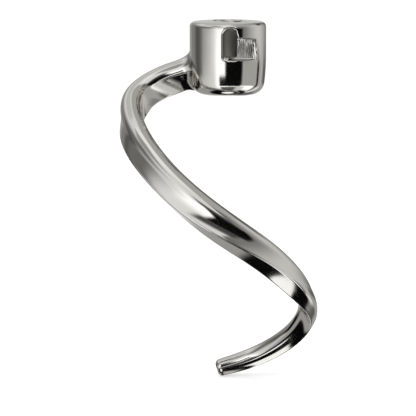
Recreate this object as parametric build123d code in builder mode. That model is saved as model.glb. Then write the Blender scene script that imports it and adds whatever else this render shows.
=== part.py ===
"""Stand mixer dough hook, cast and polished in one piece of stainless steel.

The hub slips over the mixer's shaft from below. The pin across the shaft comes down the keyway,
and a turn brings it under the dome of the slot in the hub's front, where it carries the hook.
The arm leaves the hub's side level, bends round and winds down in a closing left-handed spiral.
The origin is the middle of the bore's mouth, +Z is up the shaft and the slot faces -Y.
"""

import os
from math import asin, cos, degrees, radians, sin

from build123d import *

os.makedirs("parts", exist_ok=True)

# Overall height, from the bore's mouth down to the tip
TOTAL_HEIGHT = 172.7

# Hub: a barrel that draws in towards its foot
HUB_DIAMETER = 35.5
HUB_HEIGHT = 34.5
HUB_STRAIGHT = 17.0  # height of the cylindrical part
HUB_DRAW = 1.6  # how far the side draws in before the foot is rounded
HUB_CROWN = 0.8  # fall of the top face from the mouth to the edge
TOP_EDGE_RADIUS = 2.2
FOOT_EDGE_RADIUS = 6.5

# Bore for the shaft, and the keyway that lets its pin through
BORE_DIAMETER = 13.4
BORE_DEPTH = 27.0
PIN_WAY_WIDTH = 5.4
PIN_REACH = 10.4  # from the axis to the end of the pin, with clearance
KEYWAY_AZIMUTH = 303.0

# Domed slot through the hub's front, where the pin rests
SLOT_AZIMUTH = 273.0
SLOT_WIDTH = 7.0
SLOT_TOP = 2.8
SLOT_FOOT = 16.3
SLOT_CORNER = 1.0
RIM_PLANE = 16.5  # from the axis to where the slot starts to flare out
RIM_ANGLE = 45.0
SILL_DROP = 0.7  # of the rim below the slot's foot

# Shallow pocket beside the slot
POCKET_END_AZIMUTH = 318.0
POCKET_TOP = 7.0
POCKET_TOP_FALL = 1.1  # of the pocket's top edge, from the slot to its far end
POCKET_FOOT = 17.2
POCKET_FLOOR = 14.2  # from the axis
POCKET_DRAFT = 8.0
RIB_PITCH = 0.95
RIB_COUNT = 9
GROOVE_WIDTH = 0.4
GROOVE_DEPTH = 0.25

# Arm: the plan of its centre line
ARM_AZIMUTH = 172.0  # the direction in which it leaves the hub
ARM_ROOT = 9.0  # from the axis, inside the hub's wall
BEND_RADIUS = 14.5
SPIRAL_RADIUS = 46.5  # where the bend runs into the spiral
TIP_RADIUS = 32.2
SPIRAL_AZIMUTHS = (235, 265, 295, 325, 350, 375, 405, 430, 455)

# Arm: its fall and its section at the stations, from the root to the tip
ARM_SECTIONS = 72
ROOT_DROP = 22.3  # from the mouth to the centre line at the root
FALL_SHARES = (0, 0.042, 0.097, 0.175, 0.355, 0.468, 0.568, 0.675, 0.753, 0.826, 0.911, 0.966, 1)
HEIGHTS = (14.8, 15.2, 15.0, 15.8, 17.0, 16.0, 14.2, 12.8, 11.2, 10.4, 10.0, 9.4, 8.2)
THICKNESSES = (12.0, 11.3, 10.6, 10.8, 12.1, 12.6, 12.3, 11.0, 9.3, 8.6, 8.8, 9.0, 8.6)
TWISTS = (30, 4, -20, -5, 4, 3, 9, 14, 30, 48, 46, 33, 18)

# Section: a round bead on top of a blade with hollow faces and bevelled edges
CORNER_BEVEL = 0.9  # set back along both sides of the outer corner
LIP_BEVEL = 0.8
HOLLOW_DEPTH = 0.55
OUTER_HOLLOW_DEPTH = 0.35
TIP_EDGE_RADIUS = 2.4
TIP_UNDERSIDE = 0.469  # of the tip's height, from the centre line down to the lowest point

# Flare of the arm's root into the hub's side
FLARE_REACH = 23.0  # where it starts, from the hub's axis
FLARE_END = 13.5  # where it would be full, inside the hub
FLARE_TURN = 72.0  # how far round its quarter ellipse it goes
FLARE_RISE = 3.0
FLARE_SPREAD = 5.0


def polar(radius, azimuth):
    """A point in plan, given by its radius and its azimuth in degrees."""
    return Vector(radius * cos(radians(azimuth)), radius * sin(radians(azimuth)))


def arm_splines():
    """Two splines along the arm: its centre line, and (height, thickness, twist) at the same parameter.

    In plan the centre line runs straight out of the hub, round the bend and down the spiral.
    """
    middle_radius = SPIRAL_RADIUS - BEND_RADIUS
    spiral_start = ARM_AZIMUTH + degrees(asin(BEND_RADIUS / middle_radius))
    bend_middle = polar(middle_radius, spiral_start)
    bend_start = polar((middle_radius**2 - BEND_RADIUS**2) ** 0.5, ARM_AZIMUTH)
    bend_end = polar(SPIRAL_RADIUS, spiral_start)
    outwards = (bend_start + bend_end - bend_middle * 2).normalized()
    plan = [polar(ARM_ROOT, ARM_AZIMUTH), bend_start, bend_middle + outwards * BEND_RADIUS, bend_end]
    for azimuth in SPIRAL_AZIMUTHS:
        share = (azimuth - spiral_start) / (SPIRAL_AZIMUTHS[-1] - spiral_start)
        plan.append(polar(SPIRAL_RADIUS + (TIP_RADIUS - SPIRAL_RADIUS) * share, azimuth))
    fall = TOTAL_HEIGHT - TIP_UNDERSIDE * HEIGHTS[-1] - ROOT_DROP
    points = [Vector(at.X, at.Y, -ROOT_DROP - fall * share) for at, share in zip(plan, FALL_SHARES)]
    lengths = [0.0]
    for start, end in zip(points, points[1:]):
        lengths.append(lengths[-1] + (end - start).length)
    places = [length / lengths[-1] for length in lengths]
    sizes = [Vector(*size) for size in zip(HEIGHTS, THICKNESSES, TWISTS)]
    return Edge.make_spline(points, parameters=places), Edge.make_spline(sizes, parameters=places)


def flare_growth(reach):
    """How far the root has flared, from 0 to nearly 1, along a quarter ellipse towards the hub's axis."""
    share = min(max((FLARE_REACH - reach) / (FLARE_REACH - FLARE_END), 0), sin(radians(FLARE_TURN)))
    return 1 - cos(asin(share))


def section_plane(place, twist):
    """The section's plane at a place on the arm: x outwards from the spiral, y up, turned by the twist."""
    heading = centre_line.tangent_at(place)
    outwards = Vector(heading.Y, -heading.X, 0).normalized()
    return Plane(origin=centre_line.position_at(place), x_dir=outwards, z_dir=-heading).rotated((0, 0, twist))


def hollow_control(start, end, depth):
    """Control point of a quadratic curve between two points that bows to the left of its run."""
    run = end - start
    return (start + end) * 0.5 + Vector(-run.Y, run.X).normalized() * (2 * depth)


def set_back(corner, neighbour, distance):
    """The point at a distance from a corner towards its neighbour."""
    return corner + (neighbour - corner).normalized() * distance


def arm_section(plane, height, thickness):
    """One section of the arm: a round bead over two hollow flanks and a sloping underside.

    Each side is one curve of low degree, which keeps the loft's faces light.
    """
    inner_crease = Vector(-0.42 * thickness, 0.10 * height)
    outer_crease = Vector(0.38 * thickness, 0.14 * height)
    outer_corner = Vector(0.50 * thickness, -0.26 * height)
    lip = Vector(-0.30 * thickness, -0.50 * height)
    bead_controls = ((0.48 * thickness, 0.627 * height), (-0.54 * thickness, 0.627 * height))
    size = height / HEIGHTS[-1] if height < HEIGHTS[-1] else 1
    inner_control = hollow_control(inner_crease, lip, HOLLOW_DEPTH * size)
    outer_control = hollow_control(outer_corner, outer_crease, OUTER_HOLLOW_DEPTH * size)
    edge_points = (
        set_back(lip, inner_control, LIP_BEVEL * size),
        set_back(lip, outer_corner, LIP_BEVEL * size),
        set_back(outer_corner, lip, CORNER_BEVEL * size),
        set_back(outer_corner, outer_control, CORNER_BEVEL * size),
    )
    with BuildSketch(plane) as section:
        with BuildLine():
            Bezier(outer_crease, *bead_controls, inner_crease)
            Bezier(inner_crease, inner_control, edge_points[0])
            Polyline(*edge_points)
            Bezier(edge_points[-1], outer_control, outer_crease)
        make_face()
    return section.sketch


centre_line, size_line = arm_splines()
with BuildPart() as arm:
    # The root flares out into the hub's side, as a cast fillet does
    sections = []
    for step in range(ARM_SECTIONS + 1):
        place = step / ARM_SECTIONS
        point = centre_line.position_at(place)
        size = size_line.position_at(place)
        growth = flare_growth((point.X**2 + point.Y**2) ** 0.5)
        plane = section_plane(place, size.Z)
        sections.append(
            arm_section(plane, size.X + 2 * FLARE_RISE * growth, size.Y + 2 * FLARE_SPREAD * growth)
        )
    loft(sections, clean=False)

    # The tip is rounded over: its sections shrink along a quarter circle
    tip_plane = section_plane(1, TWISTS[-1])
    tip_sections = [sections[-1]]
    for angle in (25, 50, 70, 85):
        inset = 2 * TIP_EDGE_RADIUS * (1 - cos(radians(angle)))
        plane = tip_plane.offset(-TIP_EDGE_RADIUS * sin(radians(angle)))
        tip_sections.append(arm_section(plane, HEIGHTS[-1] - inset, THICKNESSES[-1] - inset))
    loft(tip_sections, clean=False)

with BuildPart() as hook:
    # Hub, turned from its half profile
    with BuildSketch(Plane.XZ) as half:
        with BuildLine():
            radius = HUB_DIAMETER / 2
            foot = (radius - HUB_DRAW, -HUB_HEIGHT)
            Polyline((0, -HUB_HEIGHT), (0, 0), (BORE_DIAMETER / 2, 0), (radius, -HUB_CROWN))
            Line((radius, -HUB_CROWN), (radius, -HUB_STRAIGHT))
            TangentArc((radius, -HUB_STRAIGHT), foot, tangent=(0, -1))
            Line(foot, (0, -HUB_HEIGHT))
        make_face()
        fillet(half.vertices().sort_by_distance((radius, -HUB_CROWN))[0], TOP_EDGE_RADIUS)
        fillet(half.vertices().sort_by_distance(foot)[0], FOOT_EDGE_RADIUS)
    revolve(axis=Axis.Z)
    add(arm.part, clean=False)

    # Slot with a domed top, from the front into the bore, and its rim, which flares outwards
    across, outwards = polar(1, SLOT_AZIMUTH + 90), polar(1, SLOT_AZIMUTH)
    dome = SLOT_TOP + SLOT_WIDTH / 2
    for distance, foot_drop, taper in ((0, 0, 0), (RIM_PLANE, SILL_DROP, -RIM_ANGLE)):
        with BuildSketch(Plane(origin=outwards * distance, x_dir=across, z_dir=outwards)) as slot:
            with Locations((0, -dome)):
                Circle(SLOT_WIDTH / 2)
            with Locations((0, -(dome + SLOT_FOOT + foot_drop) / 2)):
                Rectangle(SLOT_WIDTH, SLOT_FOOT + foot_drop - dome)
            fillet(slot.vertices().group_by(Axis.Y)[0], SLOT_CORNER)
        extrude(amount=HUB_DIAMETER / 2 - distance + 1, taper=taper, mode=Mode.SUBTRACT, clean=False)

    # Pocket beside it, with a grooved floor and drafted walls
    pocket_azimuth = (SLOT_AZIMUTH + POCKET_END_AZIMUTH) / 2
    half_width = radius * sin(radians(POCKET_END_AZIMUTH - pocket_azimuth))
    across, outwards = polar(1, pocket_azimuth + 90), polar(1, pocket_azimuth)
    floor = Plane(origin=outwards * POCKET_FLOOR, x_dir=across, z_dir=outwards)
    with BuildSketch(floor):
        with BuildLine():
            Polyline(
                (-half_width, -POCKET_TOP),
                (-half_width, -POCKET_FOOT),
                (half_width, -POCKET_FOOT),
                (half_width, -POCKET_TOP - POCKET_TOP_FALL),
                close=True,
            )
        make_face()
    extrude(amount=HUB_DIAMETER / 2, taper=-POCKET_DRAFT, mode=Mode.SUBTRACT, clean=False)
    groove_height = POCKET_FOOT - POCKET_TOP - POCKET_TOP_FALL - 2 * GROOVE_WIDTH
    with BuildSketch(floor):
        with Locations((half_width - RIB_PITCH * (RIB_COUNT + 1) / 2, -POCKET_FOOT + groove_height / 2 + GROOVE_WIDTH)):
            with GridLocations(RIB_PITCH, 1, RIB_COUNT, 1):
                Rectangle(GROOVE_WIDTH, groove_height)
    extrude(amount=-GROOVE_DEPTH, mode=Mode.SUBTRACT, clean=False)

    # Bore, keyway and the passage in which the pin turns from the keyway to the slot
    with BuildSketch():
        Circle(BORE_DIAMETER / 2)
    extrude(amount=-BORE_DEPTH, mode=Mode.SUBTRACT, clean=False)
    with BuildSketch(Plane.XY.rotated((0, 0, KEYWAY_AZIMUTH))):
        with Locations((PIN_REACH / 2, 0)):
            Rectangle(PIN_REACH, PIN_WAY_WIDTH)
    extrude(amount=-SLOT_FOOT, mode=Mode.SUBTRACT, clean=False)
    with BuildSketch(Plane.XZ.rotated((0, 0, SLOT_AZIMUTH))):
        with Locations((PIN_REACH / 2, -SLOT_FOOT + PIN_WAY_WIDTH / 2)):
            Rectangle(PIN_REACH, PIN_WAY_WIDTH)
    revolve(axis=Axis.Z, revolution_arc=KEYWAY_AZIMUTH - SLOT_AZIMUTH, mode=Mode.SUBTRACT, clean=False)

hook.part.label = "dough_hook"
export_step(hook.part, "parts/dough_hook.step")
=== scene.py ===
"""The looks of a stand mixer's dough hook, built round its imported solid.

Z runs up the mixer's shaft, with 0 at the mouth of the hub's bore. The slot in the hub faces -Y,
and the arm leaves towards -X. The object's sizes are in mm, which MM turns to metres, and the
studio's are in metres.
"""

from math import asin, cos, degrees, radians, sin

import bmesh
import bpy
import numpy as np
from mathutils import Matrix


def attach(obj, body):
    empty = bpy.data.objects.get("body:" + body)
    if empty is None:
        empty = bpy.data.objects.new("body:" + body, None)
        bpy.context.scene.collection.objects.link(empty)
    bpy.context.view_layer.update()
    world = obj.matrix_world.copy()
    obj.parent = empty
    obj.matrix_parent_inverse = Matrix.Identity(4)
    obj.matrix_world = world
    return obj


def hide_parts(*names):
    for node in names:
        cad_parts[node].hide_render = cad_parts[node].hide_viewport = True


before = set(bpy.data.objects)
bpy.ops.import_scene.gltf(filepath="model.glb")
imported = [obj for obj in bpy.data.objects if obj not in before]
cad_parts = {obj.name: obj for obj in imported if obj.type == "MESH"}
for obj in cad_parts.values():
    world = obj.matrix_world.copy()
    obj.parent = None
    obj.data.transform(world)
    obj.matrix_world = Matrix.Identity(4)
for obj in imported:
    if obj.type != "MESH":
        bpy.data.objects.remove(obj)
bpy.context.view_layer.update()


# The hub: the top of the one steel casting, turned outside and bored for the mixer's shaft, with
# the slot for its pin. It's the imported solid's own surface, merged, with the arm taken off and the
# normals of a true turned form, because a polished surface shows every facet.
MM = 0.001
HUB_RADIUS = 17.75
HUB_HEIGHT = 34.5
SIDE_STRAIGHT = 17.0
SIDE_DRAW = 1.6
CROWN = 0.8
TOP_EDGE_RADIUS = 2.2
FOOT_EDGE_RADIUS = 6.5
MOUTH_ROUND = 0.9

# Edges turn by at least these angles, in degrees, where they are the mouth's or sharp. The arm's
# faces start below a height. Points this close, in mm, are merged, are level with a flat face, or
# are on the turned form, and a face leans the form's way from a least cosine on.
MOUTH_ANGLE = 57.0
SHARP_ANGLE = 30.0
ARM_TOP = -3.0
MERGE_DISTANCE = 0.0001
LEVEL_ERROR = 0.01
FACET_ERROR = 0.03
CORNER_ERROR = 0.05
LEAST_COSINE = 0.3


def hub_profile(count=240):
    """The hub's half profile from its top edge to the middle of its foot: runs, radii, heights.

    A quarter circle rounds the top edge, a straight line runs down the side, a wide arc tangent to
    it draws in, and a quarter circle tangent to that arc rounds over into the flat foot. The run
    is the length down the profile from its first point.
    """
    top = np.linspace(np.pi / 2 - CROWN / HUB_RADIUS, 0, count)
    wide = ((HUB_HEIGHT - SIDE_STRAIGHT) ** 2 + SIDE_DRAW**2) / (2 * SIDE_DRAW)
    foot_height = FOOT_EDGE_RADIUS - HUB_HEIGHT
    drop = foot_height + SIDE_STRAIGHT
    foot_radius = HUB_RADIUS - wide + ((wide - FOOT_EDGE_RADIUS) ** 2 - drop**2) ** 0.5
    lean = asin(drop / (wide - FOOT_EDGE_RADIUS))
    side = np.linspace(0, lean, count)
    foot = np.linspace(lean, -np.pi / 2, count)
    edge_height = -CROWN - TOP_EDGE_RADIUS
    radii = np.concatenate(
        [
            HUB_RADIUS - TOP_EDGE_RADIUS + TOP_EDGE_RADIUS * np.cos(top),
            HUB_RADIUS - wide + wide * np.cos(side),
            foot_radius + FOOT_EDGE_RADIUS * np.cos(foot),
            np.linspace(foot_radius, 0, count),
        ]
    )
    heights = np.concatenate(
        [
            edge_height + TOP_EDGE_RADIUS * np.sin(top),
            -SIDE_STRAIGHT + wide * np.sin(side),
            foot_height + FOOT_EDGE_RADIUS * np.sin(foot),
            np.full(count, -HUB_HEIGHT),
        ]
    )
    runs = np.concatenate([[0], np.cumsum(np.hypot(np.diff(radii), np.diff(heights)))])
    return runs, radii, heights


PROFILE_RUNS, PROFILE_RADII, PROFILE_HEIGHTS = hub_profile()


def profile_run(height):
    """The run down the hub's profile at which it passes a height, read between its points."""
    return np.interp(-height, -PROFILE_HEIGHTS, PROFILE_RUNS)


def profile_point(run):
    """The radius and height of the hub's profile at a run down it, read between its points."""
    radius = np.interp(run, PROFILE_RUNS, PROFILE_RADII)
    return radius, np.interp(run, PROFILE_RUNS, PROFILE_HEIGHTS)


def hub_surface(run, azimuth, step=0.05):
    """Points and outward normals on the hub at a run down its profile and an azimuth.

    The point is the profile's point at that run, turned round Z by the azimuth. The normal is the
    profile's direction, from a step behind to a step ahead, turned a quarter turn outwards, and
    turned round Z as well.
    """
    radius, height = profile_point(run)
    radius_ahead, height_ahead = profile_point(run + step)
    radius_behind, height_behind = profile_point(run - step)
    dr, dz = radius_ahead - radius_behind, height_ahead - height_behind
    size = np.hypot(dr, dz)
    points = np.stack([radius * np.cos(azimuth), radius * np.sin(azimuth), height], -1)
    normals = np.stack([-dz * np.cos(azimuth), -dz * np.sin(azimuth), dr], -1) / size[..., None]
    return points, normals


def rows_of(items, attribute, width, kind=float):
    """An attribute of each of a mesh's vertices, corners or faces, as the rows of an array."""
    values = np.empty(len(items) * width, dtype=kind)
    items.foreach_get(attribute, values)
    return values.reshape(-1, width)


bm = bmesh.new()
bm.from_mesh(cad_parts["dough_hook"].data)
bmesh.ops.remove_doubles(bm, verts=bm.verts, dist=MERGE_DISTANCE * MM)

# The arm's faces lie below the foot, or outside the turned form from a little below the top
x, y, z = np.array([face.calc_center_median() / MM for face in bm.faces]).T
side = profile_point(profile_run(z))[0]
of_arm = (z < -HUB_HEIGHT - LEVEL_ERROR) | ((z < ARM_TOP) & (np.hypot(x, y) > side + FACET_ERROR))
arm_faces = [face for face, belongs in zip(bm.faces, of_arm) if belongs]
bmesh.ops.delete(bm, geom=arm_faces, context="FACES")

# The mouth's edges lie level with it, where the top turns down into the bore
mouth = [
    edge
    for edge in bm.edges
    if len(edge.link_faces) == 2
    and edge.calc_face_angle() > radians(MOUTH_ANGLE)
    and min(vertex.co.z for vertex in edge.verts) > -LEVEL_ERROR * MM
]
bmesh.ops.bevel(
    bm, geom=mouth, offset=MOUTH_ROUND * MM, segments=4, profile=0.5, affect="EDGES"
)
hub_mesh = bpy.data.meshes.new("hub")
bm.to_mesh(hub_mesh)
bm.free()
hub = bpy.data.objects.new("hub", hub_mesh)
bpy.context.collection.objects.link(hub)

# A corner on the turned form takes the form's own normal if its face leans the same way, so the
# slot's flared rim shades on from the hub's side
hub_mesh.shade_smooth()
hub_mesh.set_sharp_from_angle(angle=radians(SHARP_ANGLE))
corner_normals = rows_of(hub_mesh.corner_normals, "vector", 3)
owners = rows_of(hub_mesh.loops, "vertex_index", 1, int)[:, 0]
spots = (rows_of(hub_mesh.vertices, "co", 3) / MM)[owners]
face_corners = rows_of(hub_mesh.polygons, "loop_total", 1, int)[:, 0]
face_normals = np.repeat(rows_of(hub_mesh.polygons, "normal", 3), face_corners, axis=0)
azimuths = np.arctan2(spots[:, 1], spots[:, 0])
true_points, true_normals = hub_surface(profile_run(spots[:, 2]), azimuths)
on_form = np.linalg.norm(spots - true_points, axis=1) < CORNER_ERROR
turned = on_form & ((face_normals * true_normals).sum(1) > LEAST_COSINE)
corner_normals[turned] = true_normals[turned]
hub_mesh.normals_split_custom_set(corner_normals.tolist())

# Polished stainless steel, cast and then buffed: bright, faintly warm, with the slight waviness
# and fine lines that a buffing wheel leaves, which soften the edges of what it mirrors. In the bore
# and the slot, which the wheel doesn't reach, the casting is duller, and its colour is darker there
# as painted shade in those recesses.
STEEL_DARK = "#C9C8C4"
STEEL_PALE = "#D2D0CB"
# Painted shade: the darker colour given to the inside of the bore and the slot
STEEL_SHADED_INSIDE = "#7C7A74"
BUFFED_ROUGHNESS = (0.06, 0.13)
UNBUFFED_ROUGHNESS = 0.36
LINES_PER_METRE = 3300.0
WAVES_PER_METRE = 110.0
LINE_STRENGTH = 0.04
LINE_DEPTH = 0.1

# Where the duller inside, with its painted shade, starts and where it's complete, in mm: from the
# shaft's axis, under the mouth and over the hub's foot
ROUGH_SHADED_RADII = (13.0, 8.0)
ROUGH_SHADED_UNDER_MOUTH = (-0.5, -2.5)
ROUGH_SHADED_OVER_FOOT = (-31.0, -29.0)


def linear(hex_colour):
    """An sRGB hex colour as linear red, green, blue and alpha."""
    shares = [int(hex_colour[i : i + 2], 16) / 255 for i in (1, 3, 5)]
    return [c / 12.92 if c <= 0.04045 else ((c + 0.055) / 1.055) ** 2.4 for c in shares] + [1.0]


def add_node(tree, kind, settings=None, inputs=None):
    """Adds a node to a material's tree, with its settings, and its inputs' values or links."""
    made = tree.nodes.new(kind)
    for name, value in (settings or {}).items():
        setattr(made, name, value)
    for name, value in (inputs or {}).items():
        if isinstance(value, bpy.types.NodeSocket):
            tree.links.new(value, made.inputs[name])
        else:
            made.inputs[name].default_value = value
    return made


steel = bpy.data.materials.new("polished stainless steel")
steel.use_nodes = True
tree = steel.node_tree
shader = tree.nodes["Principled BSDF"]
shader.inputs["Metallic"].default_value = 1.0
at = add_node(tree, "ShaderNodeTexCoord").outputs["Object"]

# Buffing lines are about 0.3 mm apart, and the waviness is about 9 mm long
lines = add_node(
    tree, "ShaderNodeTexNoise", inputs={"Vector": at, "Scale": LINES_PER_METRE, "Detail": 2.0}
)
waves = add_node(
    tree, "ShaderNodeTexNoise", inputs={"Vector": at, "Scale": WAVES_PER_METRE, "Detail": 1.0}
)
haze = add_node(
    tree,
    "ShaderNodeMapRange",
    inputs={
        "Value": waves.outputs["Fac"],
        "To Min": BUFFED_ROUGHNESS[0],
        "To Max": BUFFED_ROUGHNESS[1],
    },
)
tint = add_node(
    tree,
    "ShaderNodeMix",
    {"data_type": "RGBA"},
    {"Factor": waves.outputs["Fac"], "A": linear(STEEL_DARK), "B": linear(STEEL_PALE)},
)

# The share of the duller inside, darkened as painted shade, is the product of a ramp from the axis
# and two in height
level = add_node(tree, "ShaderNodeVectorMath", {"operation": "MULTIPLY"}, {0: at, 1: (1, 1, 0)})
apart = add_node(
    tree, "ShaderNodeVectorMath", {"operation": "LENGTH"}, {0: level.outputs[0]}
).outputs["Value"]
height = add_node(tree, "ShaderNodeSeparateXYZ", inputs={"Vector": at}).outputs["Z"]
rough_shaded_inside = 1.0
for measure, (start, full) in (
    (apart, ROUGH_SHADED_RADII),
    (height, ROUGH_SHADED_UNDER_MOUTH),
    (height, ROUGH_SHADED_OVER_FOOT),
):
    ramp = add_node(
        tree,
        "ShaderNodeMapRange",
        inputs={"Value": measure, "From Min": start * MM, "From Max": full * MM},
    )
    rough_shaded_inside = add_node(
        tree, "ShaderNodeMath", {"operation": "MULTIPLY"}, {0: rough_shaded_inside, 1: ramp.outputs[0]}
    ).outputs[0]
# Painted shade: the inside of the bore and the slot is mixed towards a darker colour
tint = add_node(
    tree,
    "ShaderNodeMix",
    {"data_type": "RGBA"},
    {"Factor": rough_shaded_inside, "A": tint.outputs["Result"], "B": linear(STEEL_SHADED_INSIDE)},
)
haze = add_node(
    tree,
    "ShaderNodeMapRange",
    inputs={"Value": rough_shaded_inside, "To Min": haze.outputs["Result"], "To Max": UNBUFFED_ROUGHNESS},
)
relief = add_node(
    tree,
    "ShaderNodeBump",
    inputs={
        "Strength": LINE_STRENGTH,
        "Distance": LINE_DEPTH * MM,
        "Height": lines.outputs["Fac"],
    },
)
tree.links.new(tint.outputs["Result"], shader.inputs["Base Color"])
tree.links.new(haze.outputs["Result"], shader.inputs["Roughness"])
tree.links.new(relief.outputs["Normal"], shader.inputs["Normal"])
hub_mesh.materials.append(steel)
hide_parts("dough_hook")
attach(hub, "root")


# The arm: the rest of the same casting, a blade with a round bead on top and hollow flanks, which
# leaves the hub through a cast fillet, bends round and winds down inwards to a rounded tip. Round
# its lower bend it's buffed softer, with its outer corner drawn in and its outer flank swelling.
TOTAL_HEIGHT = 172.7
ARM_AZIMUTH = 172.0
ARM_ROOT = 9.0
ROOT_DROP = 22.3
BEND_RADIUS = 14.5
SPIRAL_RADIUS = 46.5
TIP_RADIUS = 32.2
SPIRAL_AZIMUTHS = np.array([235, 265, 295, 325, 350, 375, 405, 430, 455.0])
TIP_UNDERSIDE = 0.51
TIP_EDGE_RADIUS = 2.4
FILLET = 3.4
FILLET_REACH = 23.0

# Each of these has a value for every knot along the arm: four from the hub round the bend, and
# nine down the spiral. Heights, thicknesses and the flanks' dips are in mm, and a flank with a dip
# below zero swells. Twists are in degrees, and softness runs from 0 to 1. The rest are shares: of
# the fall from root to tip, of the thickness for what lies across, and of the height for a drop.
FALL_SHARES = np.array(
    [0, 0.042, 0.097, 0.175, 0.355, 0.468, 0.568, 0.675, 0.753, 0.828, 0.914, 0.968, 1]
)
HEIGHTS = np.array([14.8, 15.2, 15.0, 15.8, 17.0, 16.0, 14.2, 12.9, 11.2, 10.4, 10.3, 9.7, 8.2])
THICKNESSES = np.array([12.0, 11.3, 11.4, 12.4, 12.6, 12.6, 12.3, 11.0, 9.6, 9.4, 9.6, 9.4, 8.6])
TWISTS = np.array([30, 4, -20, -5, 4, 3, 9, 16, 30, 46, 44, 33, 18.0])
SOFTNESS = np.array([0, 0, 0.1, 0.3, 0.2, 0, 0, 0.2, 0.6, 0.8, 0.7, 0.5, 0.4])
CORNERS_ACROSS = np.array(
    [0.5, 0.5, 0.5, 0.5, 0.5, 0.5, 0.48, 0.36, 0.18, 0.14, 0.3, 0.46, 0.5]
)
CORNER_DROPS = np.array(
    [0.26, 0.26, 0.26, 0.26, 0.26, 0.26, 0.28, 0.37, 0.46, 0.46, 0.38, 0.3, 0.26]
)
LIPS_ACROSS = np.array([-0.14, -0.14, -0.2] + [-0.3] * 10)
INNER_DIPS = np.array([0.3, 0.3, 0.4] + [0.55] * 10)
OUTER_DIPS = np.array(
    [0.35, 0.35, 0.2, -0.1, 0.25, 0.35, 0.2, -0.5, -1.2, -1.4, -1.2, -0.4, 0.35]
)

# The creases on either side of the bead and the lip's drop, in shares of the thickness and height,
# the points on each stretch of the outline, and the passes that round its corners
OUTER_CREASE = (0.38, 0.14)
INNER_CREASE = (-0.42, 0.10)
LIP_DROP = 0.5
BEAD_POINTS, INNER_POINTS, UNDER_POINTS, OUTER_POINTS = 48, 34, 30, 24
CRISP_PASSES = 5
SOFT_PASSES = 70
RING_COUNT = 560


def polar(radius, azimuth):
    """Points in plan from radii and azimuths in degrees."""
    azimuth = np.radians(azimuth)
    return np.stack([radius * np.cos(azimuth), radius * np.sin(azimuth)], -1)


def natural_spline(knots, values, at):
    """A natural cubic spline through values at knots, read at other places.

    The second derivatives solve the usual three-term equations, with none at either end, and each
    span is the cubic that meets its two values and its two second derivatives.
    """
    step = np.diff(knots)
    rise = np.diff(values, axis=0) / step[:, None]
    size = len(knots)
    terms = np.eye(size)
    inner = np.arange(1, size - 1)
    terms[inner, inner - 1] = step[:-1]
    terms[inner, inner] = 2 * (step[:-1] + step[1:])
    terms[inner, inner + 1] = step[1:]
    bends = np.zeros_like(values)
    bends[1:-1] = 6 * np.diff(rise, axis=0)
    bends = np.linalg.solve(terms, bends)
    span = np.clip(np.searchsorted(knots, at, side="right") - 1, 0, size - 2)
    width = step[span][:, None]
    b = (at - knots[span])[:, None] / width
    a = 1 - b
    cubic = ((a**3 - a) * bends[span] + (b**3 - b) * bends[span + 1]) * width**2 / 6
    return a * values[span] + b * values[span + 1] + cubic


def arc_through(start, middle, end, count):
    """Points on the circle through three points, from start and short of end, for each row."""
    to_middle, to_end = middle - start, end - start
    cross = 2 * (to_middle[:, 0] * to_end[:, 1] - to_middle[:, 1] * to_end[:, 0])
    middle_square, end_square = (to_middle**2).sum(1), (to_end**2).sum(1)
    centre = start + np.stack(
        [
            (to_end[:, 1] * middle_square - to_middle[:, 1] * end_square) / cross,
            (to_middle[:, 0] * end_square - to_end[:, 0] * middle_square) / cross,
        ],
        -1,
    )
    radius = np.linalg.norm(start - centre, axis=1)
    first = np.arctan2(*(start - centre).T[::-1])
    sweep = (np.arctan2(*(end - centre).T[::-1]) - first) % (2 * np.pi)
    angle = first[:, None] + sweep[:, None] * np.arange(count) / count
    spokes = np.stack([np.cos(angle), np.sin(angle)], -1)
    return centre[:, None] + radius[:, None, None] * spokes


def hollow_line(start, end, depth, count):
    """Points from start and short of end along a shallow parabola that dips left by each depth."""
    share = (np.arange(count) / count)[None, :, None]
    along = end - start
    left = np.stack([-along[:, 1], along[:, 0]], -1) / np.linalg.norm(along, axis=1)[:, None]
    dip = 4 * share * (1 - share) * np.reshape(depth, (-1, 1, 1))
    return start[:, None] + along[:, None] * share + left[:, None] * dip


def spread(outline, passes):
    """A closed outline whose points are moved, a few times, half way to their neighbours' mean."""
    for _ in range(passes):
        outline = (np.roll(outline, 1, 1) + 2 * outline + np.roll(outline, -1, 1)) / 4
    return outline


def arm_outlines(
    height, thickness, softness, corner_across, corner_drop, lip_across, inner_dip, outer_dip
):
    """One closed outline for each height and thickness, counter-clockwise, in the section's plane.

    An arc makes the bead, shallow parabolas the flanks and a line the underside. The corners are
    rounded by spreading the points a few times, and many times where the casting is buffed soft.
    """

    def spot(across, up):
        return np.stack([across * thickness, up * height], -1)

    outer_crease, inner_crease = spot(*OUTER_CREASE), spot(*INNER_CREASE)
    lip, outer_corner = spot(lip_across, -LIP_DROP), spot(corner_across, -corner_drop)
    outline = np.concatenate(
        [
            arc_through(outer_crease, spot(0.0, 0.5), inner_crease, BEAD_POINTS),
            hollow_line(inner_crease, lip, inner_dip, INNER_POINTS),
            hollow_line(lip, outer_corner, 0.0, UNDER_POINTS),
            hollow_line(outer_corner, outer_crease, outer_dip, OUTER_POINTS),
        ],
        1,
    )
    crisp = spread(outline, CRISP_PASSES)
    soft = spread(crisp, SOFT_PASSES - CRISP_PASSES)
    return crisp + (soft - crisp) * softness[:, None, None]


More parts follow.
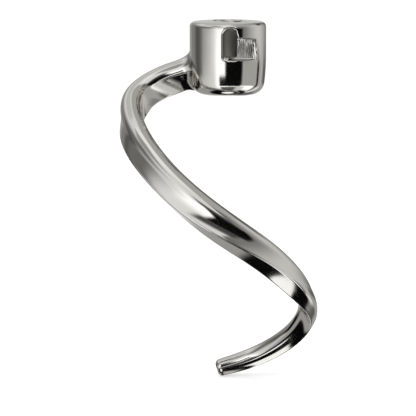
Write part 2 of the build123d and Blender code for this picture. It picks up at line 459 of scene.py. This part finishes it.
def arm_line():
    """Knots along the arm, and there its centre line and the values that shape its section.

    In plan the centre line runs straight out of the hub, round the bend and down a closing spiral.
    """
    middle_radius = SPIRAL_RADIUS - BEND_RADIUS
    spiral_start = ARM_AZIMUTH + degrees(asin(BEND_RADIUS / middle_radius))
    middle = polar(middle_radius, spiral_start)
    bend_start = polar((middle_radius**2 - BEND_RADIUS**2) ** 0.5, ARM_AZIMUTH)
    bend_end = polar(SPIRAL_RADIUS, spiral_start)
    outwards = bend_start + bend_end - 2 * middle
    outwards /= np.linalg.norm(outwards)
    share = (SPIRAL_AZIMUTHS - spiral_start) / (SPIRAL_AZIMUTHS[-1] - spiral_start)
    spiral = polar(SPIRAL_RADIUS + (TIP_RADIUS - SPIRAL_RADIUS) * share, SPIRAL_AZIMUTHS)
    start = [polar(ARM_ROOT, ARM_AZIMUTH), bend_start, middle + outwards * BEND_RADIUS, bend_end]
    plan = np.concatenate([start, spiral])
    fall = TOTAL_HEIGHT - TIP_UNDERSIDE * HEIGHTS[-1] - ROOT_DROP
    points = np.column_stack([plan, -ROOT_DROP - fall * FALL_SHARES])
    lengths = np.concatenate([[0], np.cumsum(np.linalg.norm(np.diff(points, axis=0), axis=1))])
    shaping = [HEIGHTS, THICKNESSES, TWISTS, SOFTNESS, CORNERS_ACROSS, CORNER_DROPS]
    shaping += [LIPS_ACROSS, INNER_DIPS, OUTER_DIPS]
    return lengths / lengths[-1], points, np.column_stack(shaping)


def arm_sections(places, step=1e-4):
    """The arm's outlines in space at places along it, with their centres and headings.

    The heading runs from a step behind to a step ahead. Each section stands square to the centre
    line, x outwards from the spiral and y up, turned about the heading by the twist.
    """
    knots, points, shaping = arm_line()
    centres = natural_spline(knots, points, places)
    ahead, behind = (natural_spline(knots, points, places + way) for way in (step, -step))
    heading = ahead - behind
    heading /= np.linalg.norm(heading, axis=1)[:, None]
    height, thickness, twist, softness, *corners = natural_spline(knots, shaping, places).T
    out = np.stack([heading[:, 1], -heading[:, 0], 0 * places], -1)
    out /= np.linalg.norm(out, axis=1)[:, None]
    up = np.cross(-heading, out)
    turn = np.radians(twist)[:, None]
    across = out * np.cos(turn) + up * np.sin(turn)
    along = up * np.cos(turn) - out * np.sin(turn)
    outline = arm_outlines(height, thickness, np.clip(softness, 0, 1), *corners)
    rings = centres[:, None] + outline[..., :1] * across[:, None]
    rings = rings + outline[..., 1:] * along[:, None]
    return rings, centres, heading


def root_fillet(ring, heading, count=22, passes=12):
    """Rings that carry the arm's first ring into the hub's side.

    Each line runs on straight to the hub, found in passes that each step back by the distance
    left, and a quadratic curve rounds the corner from the ring to a point on the hub's side
    outside the arm's outline, where it ends tangent to the side.
    """
    hit = ring.copy()
    for _ in range(passes):
        gap = np.hypot(hit[:, 0], hit[:, 1]) - profile_point(profile_run(hit[:, 2]))[0]
        hit = hit - heading * gap[:, None]
    azimuth = np.arctan2(hit[:, 1], hit[:, 0]) % (2 * np.pi)
    run = profile_run(hit[:, 2])
    out = np.stack([(azimuth - azimuth.mean()) * HUB_RADIUS, run - run.mean()], -1)
    out /= np.linalg.norm(out, axis=1)[:, None]
    end, normal = hub_surface(run + out[:, 1] * FILLET, azimuth + out[:, 0] * FILLET / HUB_RADIUS)
    reach = ((end - ring) * normal).sum(1) / (-heading * normal).sum(1)
    corner = ring - heading * reach[:, None]
    share = np.linspace(1, 0, count, endpoint=False)[:, None, None]
    return (1 - share) ** 2 * ring + 2 * share * (1 - share) * corner + share**2 * end


def tip_cap(ring, centre, heading, dome_rings=14, face_rings=5):
    """Rings that round the arm's last ring over, shrinking along a quarter circle, and close it.

    The shortest spokes shrink by less than their length, and rings on the end face run evenly in
    to its middle, which is returned too.
    """
    angle = np.linspace(0, np.pi / 2, dome_rings + 1)[1:, None, None]
    spokes = ring - centre
    length = np.linalg.norm(spokes, axis=1)[None, :, None]
    shrunk = 1 - TIP_EDGE_RADIUS * (1 - np.cos(angle)) / np.maximum(length, TIP_EDGE_RADIUS * 1.4)
    dome = centre + spokes * shrunk + heading * TIP_EDGE_RADIUS * np.sin(angle)
    last = dome[-1]
    middle = last.mean(0)
    inner = np.linspace(1, 0, face_rings + 2)[1:-1, None, None]
    return np.concatenate([dome, middle + (last - middle) * inner]), middle


def tube_mesh(name, rings, pole):
    """A mesh of quads over rings of points in mm, each ring closed, with a fan to a last pole."""
    count, around = rings.shape[:2]
    first = np.arange(count - 1)[:, None] * around + np.arange(around)
    following = np.arange(count - 1)[:, None] * around + np.roll(np.arange(around), -1)
    quads = np.stack([first, first + around, following + around, following], -1).reshape(-1, 4)
    rim = np.arange(around) + (count - 1) * around
    fan = np.stack([rim, np.full(around, count * around), np.roll(rim, -1)], -1)
    points = np.vstack([rings.reshape(-1, 3), pole])
    mesh = bpy.data.meshes.new(name)
    mesh.from_pydata((points * MM).tolist(), [], quads.tolist() + fan.tolist())
    mesh.shade_smooth()
    made = bpy.data.objects.new(name, mesh)
    bpy.context.collection.objects.link(made)
    return made


# The arm's rings start where its centre line is far enough from the shaft's axis for the fillet
knots, points, _ = arm_line()
tries = np.linspace(0, 1, 4001)
reach = np.linalg.norm(natural_spline(knots, points, tries)[:, :2], axis=1)
arm_start = tries[np.argmax(reach > FILLET_REACH)]
rings, centres, headings = arm_sections(np.linspace(arm_start, 1, RING_COUNT))
root = root_fillet(rings[0], headings[0])
cap, pole = tip_cap(rings[-1], centres[-1], headings[-1])
arm = tube_mesh("arm", np.concatenate([root, rings, cap]), pole)
arm.data.materials.append(steel)
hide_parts("dough_hook")
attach(arm, "root")


# The floor: a plain white sheet under the tip, which keeps the hook's shadow. For the camera it
# glows a little on top of the lamps' light, so that the sheet comes out white.
FLOOR_SIDE = 6.0
FLOOR_GAP = 0.0005
PAPER_WHITE = "#F4F4F4"
PAPER_GLOW = 0.3
bpy.ops.mesh.primitive_plane_add(size=FLOOR_SIDE, location=(0, 0, -TOTAL_HEIGHT * MM - FLOOR_GAP))
floor = bpy.context.object
floor.name = "floor"
paper = bpy.data.materials.new("white paper")
paper.use_nodes = True
tree = paper.node_tree
shader = tree.nodes["Principled BSDF"]
shader.inputs["Base Color"].default_value = linear(PAPER_WHITE)
shader.inputs["Roughness"].default_value = 0.9
path = add_node(tree, "ShaderNodeLightPath")
shader.inputs["Emission Color"].default_value = (1, 1, 1, 1)
glow = add_node(
    tree,
    "ShaderNodeMapRange",
    inputs={"Value": path.outputs["Is Camera Ray"], "To Max": PAPER_GLOW},
)
tree.links.new(glow.outputs["Result"], shader.inputs["Emission Strength"])
floor.data.materials.append(paper)
floor.visible_glossy = False


# The background: white where the camera or a reflection sees it, and a plain level of light for
# the rest.
ROOM_LIGHT = 0.8
world = bpy.data.worlds.new("studio")
bpy.context.scene.world = world
world.use_nodes = True
tree = world.node_tree
background = tree.nodes["Background"]
path = add_node(tree, "ShaderNodeLightPath")
seen = path.outputs["Is Camera Ray"]
for ray in ("Is Glossy Ray", "Is Transmission Ray"):
    seen = add_node(
        tree, "ShaderNodeMath", {"operation": "MAXIMUM"}, {0: seen, 1: path.outputs[ray]}
    ).outputs[0]
strength = add_node(
    tree, "ShaderNodeMapRange", inputs={"Value": seen, "To Min": ROOM_LIGHT, "To Max": 1.0}
)
background.inputs["Color"].default_value = (1, 1, 1, 1)
tree.links.new(strength.outputs["Result"], background.inputs["Strength"])


# Studio cards all round the object, seen only in its reflections: grey walls, white soft boxes,
# dark flags beside the camera and a black and a white card below. Azimuths and elevations are in
# degrees, and azimuths run from the camera's side towards the right.
CARD_MIDDLE = (0, 0, -0.085)
CARD_COLUMNS, CARD_ROWS = 33, 25


def card(name, azimuths, elevations, distance, colour, strength=1.0, fade=(0.2, 0.2)):
    """A curved card that faces the object, on a sphere round its middle, with edges that fade.

    Fade is the share of the card's width and of its height over which it turns clear at each edge.
    """
    a = np.radians(np.linspace(*azimuths, CARD_COLUMNS))[None, :]
    e = np.radians(np.linspace(*elevations, CARD_ROWS))[:, None]
    spots = np.stack([np.sin(a) * np.cos(e), -np.cos(a) * np.cos(e), np.sin(e) + 0 * a], -1)
    spots = spots * distance + np.array(CARD_MIDDLE)
    first = (np.arange(CARD_ROWS - 1)[:, None] * CARD_COLUMNS + np.arange(CARD_COLUMNS - 1)).ravel()
    quads = np.stack([first, first + 1, first + CARD_COLUMNS + 1, first + CARD_COLUMNS], -1)
    mesh = bpy.data.meshes.new(name)
    mesh.from_pydata(spots.reshape(-1, 3).tolist(), [], quads.tolist())
    shares = np.meshgrid(np.linspace(0, 1, CARD_COLUMNS), np.linspace(0, 1, CARD_ROWS))
    places = np.stack(shares, -1).reshape(-1, 2)
    mesh.uv_layers.new().data.foreach_set("uv", places[quads.ravel()].ravel())
    made = bpy.data.objects.new(name, mesh)
    bpy.context.collection.objects.link(made)
    finish = bpy.data.materials.new(name)
    finish.use_nodes = True
    tree = finish.node_tree
    uv = add_node(tree, "ShaderNodeTexCoord").outputs["UV"]
    parts = add_node(tree, "ShaderNodeSeparateXYZ", inputs={"Vector": uv})
    cover = 1.0
    for axis, share in zip("XY", fade):
        inwards = add_node(
            tree, "ShaderNodeMath", {"operation": "PINGPONG"}, {0: parts.outputs[axis], 1: 0.5}
        )
        ramp = add_node(
            tree,
            "ShaderNodeMapRange",
            {"interpolation_type": "SMOOTHSTEP"},
            {"Value": inwards.outputs[0], "From Max": max(share, 0.001)},
        )
        cover = add_node(
            tree, "ShaderNodeMath", {"operation": "MULTIPLY"}, {0: cover, 1: ramp.outputs["Result"]}
        ).outputs[0]
    glow = add_node(
        tree, "ShaderNodeEmission", inputs={"Color": linear(colour), "Strength": strength}
    )
    clear = add_node(tree, "ShaderNodeBsdfTransparent")
    mixed = add_node(
        tree, "ShaderNodeMixShader", inputs={0: cover, 1: clear.outputs[0], 2: glow.outputs[0]}
    )
    tree.links.new(mixed.outputs[0], tree.nodes["Material Output"].inputs["Surface"])
    mesh.materials.append(finish)
    made.visible_camera = False
    made.visible_diffuse = False
    made.visible_shadow = False


card("left wall", (-175, -42), (-80, 48), 2.5, "#B2B2B0", fade=(0.1, 0.2))
card("left shade", (-150, -46), (-9, 30), 2.4, "#949492", fade=(0.15, 0.2))
card("left strip", (-124, -76), (-16, 22), 2.35, "#646462", fade=(0.35, 0.2))
card("left glow", (-108, -40), (-34, -8), 2.3, "#DBDBD8", fade=(0.25, 0.2))
card("left upper flag", (-116, -30), (3, 30), 2.12, "#7E7E7C", fade=(0.4, 0.3))
card("upper left shade", (-68, -20), (27, 60), 2.15, "#B2B2B0", fade=(0.2, 0.2))
card("top box", (-70, 42), (42, 82), 2.35, "#FFFFFF", 1.2, fade=(0.3, 0.3))
card("back wall", (128, 214), (-12, 72), 2.7, "#CECECC", fade=(0.15, 0.15))
card("left low flag", (-156, -96), (-30, -7), 2.28, "#141414", fade=(0.2, 0.15))
card("high left", (-178, -70), (46, 86), 2.5, "#E0E0DE", fade=(0.2, 0.2))
card("high right", (8, 178), (44, 88), 2.5, "#C4C4C2", fade=(0.2, 0.2))
card("right back", (24, 176), (-24, 56), 2.6, "#6E6E6C", fade=(0.06, 0.2))
card("right wall", (30, 174), (-24, 52), 2.5, "#EAEAE8", fade=(0.5, 0.15))
card("right shade high", (110, 165), (26, 44), 2.4, "#5A5A58", fade=(0.3, 0.3))
card("right glow", (34, 126), (-28, -1), 2.3, "#C2C2C0", fade=(0.1, 0.15))
card("thin strip", (99, 112), (-56, 0), 2.1, "#161616", fade=(0.3, 0.1))
card("right edge", (128, 176), (-60, 0), 2.3, "#6A6A68", fade=(0.25, 0.1))
card("wide box", (-104, 56), (-52, 40), 2.25, "#FFFFFF", 1.1, fade=(0.5, 0.2))
card("white box", (-46, 4), (-52, 18), 2.2, "#FFFFFF", 1.75, fade=(0.3, 0.3))
card("low box", (38, 96), (-52, -19), 2.2, "#FFFFFF", 1.7, fade=(0.12, 0.15))
card("back box", (128, 176), (-40, -6), 2.2, "#B4B4B2", fade=(0.2, 0.2))
card("low flag", (-30, 43), (-76, -30), 2.1, "#6C6C6A", fade=(0.1, 0.06))
card("root glow", (19, 64), (-72, -19), 1.75, "#EDEDEB", fade=(0.35, 0.3))
card("wide flag", (-30, 43), (-25, -11), 2.0, "#0C0C0C", fade=(0.08, 0.15))
card("black flag", (-12, 49), (-20, 16), 1.9, "#0C0C0C", fade=(0.12, 0.14))
card("flag's arm", (-18, 40), (8, 29), 2.0, "#545452", fade=(0.15, 0.35))
card("black below", (-180, 180), (-90, -53), 1.8, "#0C0C0C", fade=(0.0, 0.2))
card("white below", (-180, 180), (-90, -78), 1.7, "#FFFFFF", 1.5, fade=(0.0, 0.2))


# The key light: a soft square lamp, high on the left in front, which lights the floor. Reflections
# don't see it, because the steel would show its hard edges.
KEY_SIDE = 1.2
KEY_POWER = 14.0
KEY_PLACE = (-0.9, -1.1, 1.3)
KEY_TILT, KEY_TURN = 47, -40
key = bpy.data.lights.new("key", "AREA")
key.shape = "RECTANGLE"
key.size, key.size_y = KEY_SIDE, KEY_SIDE
key.energy = KEY_POWER
key_object = bpy.data.objects.new("key", key)
key_object.location = KEY_PLACE
key_object.rotation_euler = (radians(KEY_TILT), 0, radians(KEY_TURN))
bpy.context.collection.objects.link(key_object)
key_object.visible_glossy = False


# The camera: on a long lens in front of the hub's slot, a little above level, with its lens worked
# out from the picture's scale at the hook.
ELEVATION = radians(7.2)
DISTANCE = 1.5
AIM = (-0.0092, 0.0003, -0.0878)
PICTURE_PIXELS = 416
MM_PER_PIXEL = 0.467
SENSOR_WIDTH = 36.0
camera_data = bpy.data.cameras.new("camera")
camera_data.lens = SENSOR_WIDTH * DISTANCE / (PICTURE_PIXELS * MM_PER_PIXEL * MM)
camera_data.clip_end = 20.0
camera = bpy.data.objects.new("camera", camera_data)
camera.location = (
    AIM[0],
    AIM[1] - DISTANCE * cos(ELEVATION),
    AIM[2] + DISTANCE * sin(ELEVATION),
)
camera.rotation_euler = (radians(90) - ELEVATION, 0, 0)
bpy.context.collection.objects.link(camera)
bpy.context.scene.camera = camera
bpy.context.scene.view_settings.view_transform = "Standard"
